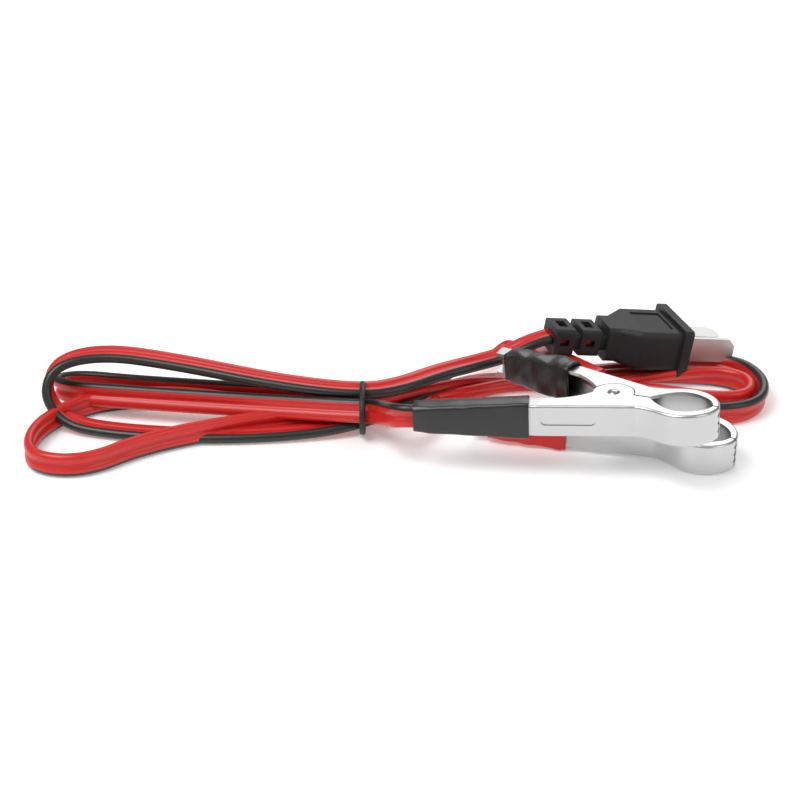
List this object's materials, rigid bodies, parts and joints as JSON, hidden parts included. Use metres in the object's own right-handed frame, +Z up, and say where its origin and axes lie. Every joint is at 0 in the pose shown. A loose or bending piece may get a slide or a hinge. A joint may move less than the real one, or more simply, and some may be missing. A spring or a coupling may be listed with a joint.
{
  "type": "battery charging lead",
  "caption": "Coiled twin-core charging lead for car batteries: a small moulded plug with crossed blades at one end, sprung steel clips with black and red sleeves at the other.",
  "frame": {"origin": "on the table under the middle of the two clips' bounding box", "axes": "+X along the lead from its left loops to the clips' jaws, +Y away from the front, +Z up from the table"},
  "size_m": [0.2327, 0.0964, 0.0264],
  "materials": {
    "clip_steel": "zinc-plated pressed sheet, bright satin",
    "rivet_steel": "plated, domed heads",
    "spring_steel": "plain spring wire",
    "black_vinyl": "soft dipped vinyl with a low gloss",
    "red_vinyl": "soft vinyl with a low gloss",
    "crimp_brass": "plain",
    "black_cord": "soft PVC insulation",
    "red_cord": "soft PVC insulation with a satin sheen",
    "tie_rubber": "plain",
    "blade_nickel": "nickel-plated, lightly rubbed",
    "plug_rubber": "moulded, finely matte",
    "plug_inner": "moulded"
  },
  "bodies": {
    "lead": {"black_lead_end": "black_cord", "black_pivot_rivet": "rivet_steel", "black_spring_coil": "spring_steel", "black_wire_crimp": "crimp_brass", "black_wire_half": "clip_steel", "black_wire_sleeve": "black_vinyl", "clip_cord": "red_cord", "hank_left_loops": "red_cord", "hank_right_loops": "red_cord", "hank_tie": "tie_rubber", "plug_cord": "red_cord", "plug_far_crimp": "crimp_brass", "plug_flat_blade": "blade_nickel", "plug_inner_bridge": "plug_inner", "plug_inner_cord": "red_cord", "plug_near_crimp": "crimp_brass", "plug_shell": "plug_rubber", "plug_upright_blade": "blade_nickel", "red_lead": "red_cord", "red_lead_end": "red_cord", "red_pivot_rivet": "rivet_steel", "red_spring_coil": "spring_steel", "red_wire_crimp": "crimp_brass", "red_wire_half": "clip_steel", "red_wire_sleeve": "red_vinyl"},
    "black_lever": {"black_lever_half": "clip_steel", "black_lever_sleeve": "black_vinyl", "black_spring_leg": "spring_steel"},
    "red_lever": {"red_lever_half": "clip_steel", "red_lever_sleeve": "red_vinyl", "red_spring_leg": "spring_steel"}
  },
  "joints": [
    {"name": "black_clip_pivot", "type": "hinge", "parent": "lead", "child": "black_lever", "pos_m": [0.01074, -0.02328, 0.0196], "axis": [-0.041, 0.045, 0.9981], "range_deg": [0, 25], "stiffness_Nm_per_rad": 0.15, "springref_deg": -57.3},
    {"name": "red_clip_pivot", "type": "hinge", "parent": "lead", "child": "red_lever", "pos_m": [0.01995, -0.00878, 0.00611], "axis": [-0.0023, 0.0503, -0.9987], "range_deg": [0, 25], "stiffness_Nm_per_rad": 0.15, "springref_deg": -57.3}
  ]
}
